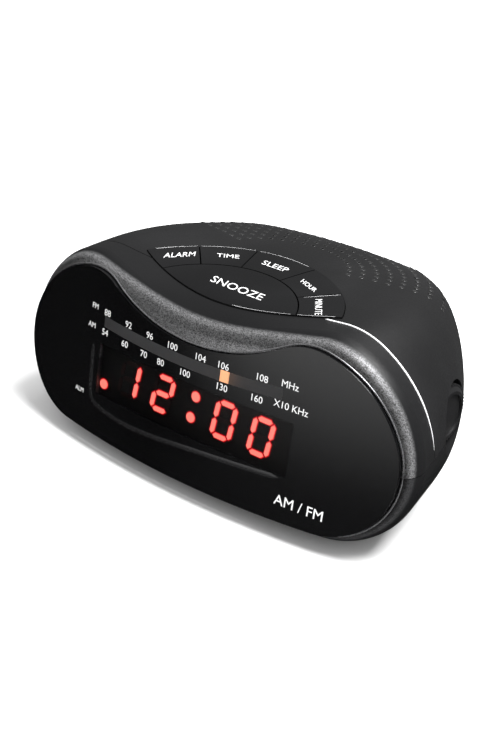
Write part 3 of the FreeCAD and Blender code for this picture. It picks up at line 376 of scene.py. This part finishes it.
def ribbon(path, width, place):
    """Low ridge along a path: two edges and a crown, narrower over its last two points."""
    made = Collected()
    rows = []
    for i, (x, up) in enumerate(path):
        before, after = path[max(i - 1, 0)], path[min(i + 1, len(path) - 1)]
        run = Vector((after[0] - before[0], after[1] - before[1])).normalized()
        taper = min(1.0, i / 2.0 + 0.15, (len(path) - 1 - i) / 2.0 + 0.15)
        side = Vector((-run.y, run.x)) * (width / 2) * taper
        rows.append([place(x + side.x * k, up + side.y * k, h * MM)
                     for k, h in ((-1, 0.0), (0, STEP_HEIGHT), (1, 0.0))])
    points = [p for row in rows for p in row]
    faces = [(3 * i + k, 3 * i + k + 1, 3 * i + k + 4, 3 * i + k + 3)
             for i in range(len(rows) - 1) for k in (0, 1)]
    made.take(points, faces)
    return made


def smooth_path(path, steps=6):
    """Catmull-Rom curve through the points."""
    out = []
    for i in range(len(path) - 1):
        a, b, c, d = (Vector(path[min(max(k, 0), len(path) - 1)]) for k in (i - 1, i, i + 1, i + 2))
        for s in range(steps):
            t = s / steps
            out.append(tuple(0.5 * (2 * b + (c - a) * t + (2 * a - 5 * b + 4 * c - d) * t * t
                                    + (3 * b - a - 3 * c + d) * t ** 3)))
    return out + [path[-1]]


line = ribbon(smooth_path(STEP_LINE), STEP_WIDTH, on_lens)
piece("lens_line", line.points, line.faces, LINE, "radio", smooth=True)

# ---------------------------------------------------------------- lettering on the keys
# Each word: the middle of its left and right ends, and the vector from its foot to its head.
KEY_WORDS = {"snooze_key": ("SNOOZE", (-9.5, -25.0), (14.5, -26.0), (-1.0, 4.2)),
             "alarm_key": ("ALARM", (-34.5, -23.0), (-27.0, -14.0), (-2.2, 3.1)),
             "time_key": ("TIME", (-20.5, -9.5), (-13.0, -5.5), (-1.8, 2.4)),
             "sleep_key": ("SLEEP", (-3.5, -3.5), (8.0, -3.5), (-0.8, 3.3)),
             "hour_key": ("HOUR", (17.0, -7.0), (26.0, -11.0), (-0.3, 2.6)),
             "minute_key": ("MINUTE", (31.0, -16.0), (38.5, -26.5), (2.0, 1.4))}
for key, (words, start, end, rise) in KEY_WORDS.items():
    run, rise = Vector(end) - Vector(start), Vector(rise)
    middle = Vector(start) + run / 2
    points, faces = lettering(words, 4.0)
    width = max(p.x for p in points) - min(p.x for p in points)
    height = max(p.y for p in points) - min(p.y for p in points)
    flat = [middle + run * (p.x / width) + rise * (p.y / height) for p in points]
    placed = [on_top(key, q.x, q.y, (p.z + PRINT_LIFT) * MM) for p, q in zip(points, flat)]
    if None in placed:
        raise RuntimeError(words + " runs off its key")
    piece(key + "_word", placed, faces, INK, key)


# ---------------------------------------------------------------- painted highlights on edges
def bead(path, radius, fade, upright, sides=6):
    """Thin tube along 3-D points, thinner towards each end over that share of its length."""
    made = Collected()
    last = len(path) - 1
    for i, point in enumerate(path):
        run = (path[min(i + 1, last)] - path[max(i - 1, 0)]).normalized()
        side = run.cross(upright).normalized()
        up = side.cross(run)
        part = i / last
        thick = radius * MM * min(1.0, 0.12 + part / fade[0], 0.12 + (1 - part) / fade[1])
        turn = [2 * math.pi * k / sides for k in range(sides)]
        made.points += [point + (side * math.cos(a) + up * math.sin(a)) * thick for a in turn]
        if i:
            first = sides * (i - 1)
            made.faces += [(first + k, first + (k + 1) % sides,
                            first + sides + (k + 1) % sides, first + sides + k) for k in range(sides)]
    made.faces += [tuple(reversed(range(sides))), tuple(range(sides * last, sides * last + sides))]
    return made


def arc(circle, radius, start, end, count=40):
    """Plan points on a circle, between two bearings in degrees clockwise from straight back."""
    (cx, cy), _ = circle
    bearings = [math.radians(start + (end - start) * i / count) for i in range(count + 1)]
    return [(cx + radius * math.sin(a), cy + radius * math.cos(a)) for a in bearings]


def spoke(circle, bearing, radii):
    """Plan points out along one bearing from a circle's centre."""
    (cx, cy), _ = circle
    a = math.radians(bearing)
    return [(cx + r * math.sin(a), cy + r * math.cos(a)) for r in radii]


# Painted highlights: white beads on top of the keys, just inside their outlines, on the edges
# that face the light only. A fade is the share of the length over which the bead grows from each
# end, so a long one leaves the bead thin.
INSET = 0.55
KEY_BEAD = 0.27
THIN = 9.0
rear_edge, front_edge = REAR_ARC[1] - INSET, FRONT_ARC[1] - INSET
minute_radii = (34.5, 38.0, 42.0, 46.0, 47.4)
EDGES = [("alarm_key", arc(REAR_ARC, rear_edge, -63.0, -43.9), (0.2, THIN)),
         ("time_key", arc(REAR_ARC, rear_edge, -42.1, -17.0), (THIN, THIN)),
         ("sleep_key", arc(REAR_ARC, rear_edge, -15.0, 12.0), (THIN, 1.0)),
         ("snooze_key", arc(FRONT_ARC, front_edge, 176.0, 161.5), (0.7, THIN)),
         ("minute_key", arc(FRONT_ARC, front_edge, 160.2, 151.5), (THIN, THIN)),
         ("minute_key", spoke(REAR_ARC, MINUTE_BEARING + 0.9, minute_radii), (THIN, THIN))]
for i, (key, plan, fade) in enumerate(EDGES):
    path = [p for p in (on_top(key, x, y, 0.0) for x, y in plan) if p]
    shape = bead(path, KEY_BEAD, fade, TOP)
    piece("%s_edge%d" % (key, i), shape.points, shape.faces, PAINTED_HIGHLIGHT, key, smooth=True)

# Painted highlight: a white bead along the front cabinet's back edge, from the keys down the right side only.
seam_path = []
SEAM_STEPS = 60
KEY_CORNER_X = 41.5
for i in range(SEAM_STEPS + 1):
    angle = math.radians(40.0 - 41.0 * i / SEAM_STEPS)
    out = Vector((math.cos(angle), 0, math.sin(angle)))
    start = Vector((0, (SEAM_Y - 0.45) * MM, 40 * MM)) + out * 0.2
    point, _ = hit("front_cabinet", start, -out)
    if point and point.x > KEY_CORNER_X * MM:
        seam_path.append(point + out * 0.08 * MM)
shape = bead(seam_path, 0.36, (0.01, 0.35), Vector((0, 1, 0)))
piece("seam_edge", shape.points, shape.faces, PAINTED_HIGHLIGHT, "radio", smooth=True)


def lens_outline(count=180, middle=31.0):
    """Points of the lens outline on the face, in millimetres, found from its middle outwards."""
    outline = []
    for i in range(count):
        angle = 2 * math.pi * i / count
        across, rise = math.cos(angle), math.sin(angle)
        inside, outside = 10.0, 110.0
        for _ in range(16):
            reach = (inside + outside) / 2
            if hit("display_lens", on_face(reach * across, middle + reach * rise, AHEAD), BACK)[0]:
                inside = reach
            else:
                outside = reach
        outline.append(Vector((inside * across, middle + inside * rise)))
    return outline


def on_case(x, up):
    """First point of the case behind a point of the face, or None where there is no case."""
    start = on_face(x, up, AHEAD)
    found = [hit(node, start, BACK)[0] for node in ("front_cabinet", "bottom_case")]
    found = [p for p in found if p]
    return min(found, key=lambda p: (p - start).length) if found else None


# A thin bright edge on the case, all the way round the lens.
outline = lens_outline()
ring = []
for i, point in enumerate(outline):
    run = (outline[(i + 1) % len(outline)] - outline[i - 1]).normalized()
    ring.append(on_case(*(point + Vector((run.y, -run.x)) * 0.6)))
ring = [p for p in ring if p]
shape = bead(ring + ring[:1], 0.28, (0.001, 0.001), BACK)
piece("rim_edge", shape.points, shape.faces, RIM_EDGE, "radio", smooth=True)


# ---------------------------------------------------------------- painted glow round the lit segments
def grown(ring, extra):
    """A convex outline moved outwards by extra, corner by corner."""
    ring = [Vector(p) for p in ring]
    out = []
    for i, p in enumerate(ring):
        before, after = (p - ring[i - 1]).normalized(), (ring[(i + 1) % len(ring)] - p).normalized()
        a, b = Vector((before.y, -before.x)), Vector((after.y, -after.x))
        out.append(p + (a + b) * (extra / (1.0 + a.dot(b))))
    return out


def plate(outline, near, far):
    """Thin plate parallel to the face, between two depths behind it."""
    count = len(outline)
    points = [on_face(q.x, q.y, depth) for depth in (near, far) for q in outline]
    faces = [tuple(range(count)), tuple(reversed(range(count, 2 * count)))]
    faces += [(k, count + k, count + (k + 1) % count, (k + 1) % count) for k in range(count)]
    return points, faces


def islands(mesh):
    """Groups of joined vertices. Vertices at one place count as joined."""
    link, spots = {}, {}
    for v in mesh.vertices:
        spots.setdefault(tuple(round(c, 6) for c in v.co), []).append(v.index)
    pairs = [tuple(e.vertices) for e in mesh.edges]
    pairs += [(same[0], other) for same in spots.values() for other in same[1:]]
    for a, b in pairs:
        link.setdefault(a, []).append(b)
        link.setdefault(b, []).append(a)
    seen, groups = set(), []
    for v in mesh.vertices:
        if v.index in seen:
            continue
        island, queue = [], [v.index]
        seen.add(v.index)
        while queue:
            i = queue.pop()
            island.append(i)
            fresh = [j for j in link.get(i, []) if j not in seen]
            seen.update(fresh)
            queue += fresh
        groups.append([mesh.vertices[i].co - FACE for i in island])
    return groups


glow, painted_halo = Collected(), Collected()
for group in islands(nodes["led_segments_lit"].data):
    flat = sorted({(round(p.x / MM, 3), round(p.dot(UP) / MM, 3)) for p in group})
    centre = Vector((sum(p[0] for p in flat), sum(p[1] for p in flat))) / len(flat)
    ring = sorted(flat, key=lambda p: math.atan2(p[1] - centre.y, p[0] - centre.x))
    glow.take(*plate(grown(ring, 0.32), SEGMENT_BACK, SEGMENT_BACK + 0.04))
    painted_halo.take(*plate(grown(ring, 0.60), SEGMENT_BACK + 0.06, SEGMENT_BACK + 0.10))
piece("led_glow", glow.points, glow.faces, GLOW, "radio")
piece("led_painted_halo", painted_halo.points, painted_halo.faces, PAINTED_HALO, "radio")

# ---------------------------------------------------------------- grille dimples: raised lips, and dark discs of painted shade in the closed pits
SIDES = 14
LIP_PROFILE = ((1.05, -0.02), (0.95, 0.09), (0.8, 0.10), (0.68, 0.02))
ROWS, FIRST_ROW, ROW_STEP, PITCH, SPAN = 8, 28.0, 5.0, 4.3, math.radians(140)
OPEN_ROWS = 5
BESIDE = 1.5  # the deck is measured this far beside a hole's middle, in millimetres


def deck_at(x, y):
    """Point and normal of the deck at a place in plan, worked out from just beside it."""
    point, normal = hit("rear_cabinet", Vector(((x + BESIDE) * MM, y * MM, ABOVE)), -TOP)
    if not point or normal.z < 0.35:
        return None, None
    return point + Vector((-BESIDE * MM, 0, BESIDE * MM * normal.x / normal.z)), normal


def lip_rings(centre, normal):
    """Rings of a low raised lip, from its foot outside to its foot inside."""
    side = normal.orthogonal().normalized()
    turn = Matrix((side, normal.cross(side), normal)).transposed()
    bearings = [2 * math.pi * s / SIDES for s in range(SIDES)]
    return [[centre + turn @ Vector((r * MM * math.cos(a), r * MM * math.sin(a), h * MM)) for a in bearings]
            for r, h in LIP_PROFILE]


painted_pits, lips = Collected(), Collected()
for row in range(ROWS):
    radius = FIRST_ROW + ROW_STEP * row
    step = PITCH / radius
    count = int(SPAN / step)
    for k in range(count + 1):
        angle = math.pi / 2 + (k - count / 2.0) * step
        x, y = radius * math.cos(angle), GRILLE_Y + radius * math.sin(angle)
        centre, normal = deck_at(x, y)
        if not centre:
            continue
        rings = lip_rings(centre, normal)
        lips.take([p for ring in rings for p in ring],
                  [(SIDES * i + s, SIDES * i + (s + 1) % SIDES,
                    SIDES * (i + 1) + (s + 1) % SIDES, SIDES * (i + 1) + s)
                   for i in range(len(rings) - 1) for s in range(SIDES)])
        # over the speaker the holes are real ones, cut through the case
        through = row < OPEN_ROWS and (Vector((x, y)) - SPEAKER).length < SPEAKER_OPENING
        # elsewhere there is no hollow: a dark disc inside the lip is painted shade for the pit
        if not through:
            painted_pits.take(rings[-1] + [centre + normal * 0.012 * MM],
                         [(s, (s + 1) % SIDES, SIDES) for s in range(SIDES)])
piece("grille_lips", lips.points, lips.faces, LIP, "radio", smooth=True)
piece("grille_painted_pits", painted_pits.points, painted_pits.faces, PAINTED_PIT_SHADE, "radio", smooth=True)

# ---------------------------------------------------------------- floor, light and camera
floor_mesh = bpy.data.meshes.new("floor")
WIDE = 6.0
corners = [(-WIDE, -WIDE, 0), (WIDE, -WIDE, 0), (WIDE, WIDE, 0), (-WIDE, WIDE, 0)]
floor_mesh.from_pydata(corners, [], [(0, 1, 2, 3)])
floor = bpy.data.objects.new("floor", floor_mesh)
bpy.context.scene.collection.objects.link(floor)
floor_mesh.materials.append(moulded("floor_white", (0.88, 0.88, 0.88), 0.9, 0.0, tint=0.01))
floor.visible_glossy = False

world = bpy.data.worlds.new("studio")
world.use_nodes = True
bpy.context.scene.world = world
tree = world.node_tree
# Even white light, while glossy surfaces mirror a darker room: a soft glow behind the radio,
# and one in front of it that lights the lens towards its upper right.
ray = add(tree, "ShaderNodeLightPath")
direction = add(tree, "ShaderNodeTexCoord").outputs["Generated"]
behind_light = ramp(tree, along(tree, direction, (-0.10, 0.87, 0.48)), 0.2, 0.98, 0.0, 0.22)
sideways = ramp(tree, along(tree, direction, (-0.20, -0.978, -0.05)), 0.86, 1.0, 0.0, 1.6)
upwards = ramp(tree, along(tree, direction, (0.0, 0.0, 1.0)), -0.25, -0.10, 0.04, 1.0)
above = ramp(tree, along(tree, direction, (0.0, 0.0, 1.0)), -0.04, 0.10, 1.0, 0.0)
front_light = math_node(tree, "MULTIPLY", math_node(tree, "MULTIPLY", sideways, upwards), above)
mirrored = math_node(tree, "ADD", math_node(tree, "ADD", behind_light, front_light), 0.02)
plain = math_node(tree, "ADD", 0.75, math_node(tree, "MULTIPLY", ray.outputs["Is Camera Ray"], 0.4))
keep = math_node(tree, "SUBTRACT", 1.0, ray.outputs["Is Glossy Ray"])
strength = math_node(tree, "ADD", math_node(tree, "MULTIPLY", plain, keep),
                     math_node(tree, "MULTIPLY", mirrored, ray.outputs["Is Glossy Ray"]))
tree.links.new(strength, tree.nodes["Background"].inputs["Strength"])
tree.nodes["Background"].inputs["Color"].default_value = (1, 1, 1, 1)


def softbox(name, where, aim, width, height, watts):
    """Rectangular lamp that faces a point."""
    light = bpy.data.lights.new(name, "AREA")
    light.shape, light.size, light.size_y, light.energy = "RECTANGLE", width, height, watts
    obj = bpy.data.objects.new(name, light)
    obj.location = where
    obj.rotation_euler = (Vector(aim) - Vector(where)).to_track_quat("-Z", "Y").to_euler()
    bpy.context.scene.collection.objects.link(obj)


softbox("overhead", (0.25, 0.55, 1.0), (0, 0, 0.05), 0.8, 0.5, 5.0)
softbox("right_top", (0.40, 0.05, 0.85), (0.05, -0.02, 0.05), 0.38, 0.38, 15.0)
softbox("left_front", (-0.8, -0.6, 0.7), (0, 0, 0.03), 0.9, 0.9, 0.5)

camera = bpy.data.objects.new("camera", bpy.data.cameras.new("camera"))
bpy.context.scene.collection.objects.link(camera)
bpy.context.scene.camera = camera
azimuth, elevation, distance = math.radians(39.03), math.radians(30.0), 0.4386
aim = Vector((0.0102, -0.0279, 0.0391))
level = math.cos(elevation)
outward = Vector((math.sin(azimuth) * level, -math.cos(azimuth) * level, math.sin(elevation)))
camera.location = aim + outward * distance
camera.rotation_euler = outward.to_track_quat("Z", "Y").to_euler()
camera.data.sensor_width, camera.data.lens = 36.0, 58.5
camera.data.clip_start = 0.01
bpy.context.scene.view_settings.view_transform = "Standard"
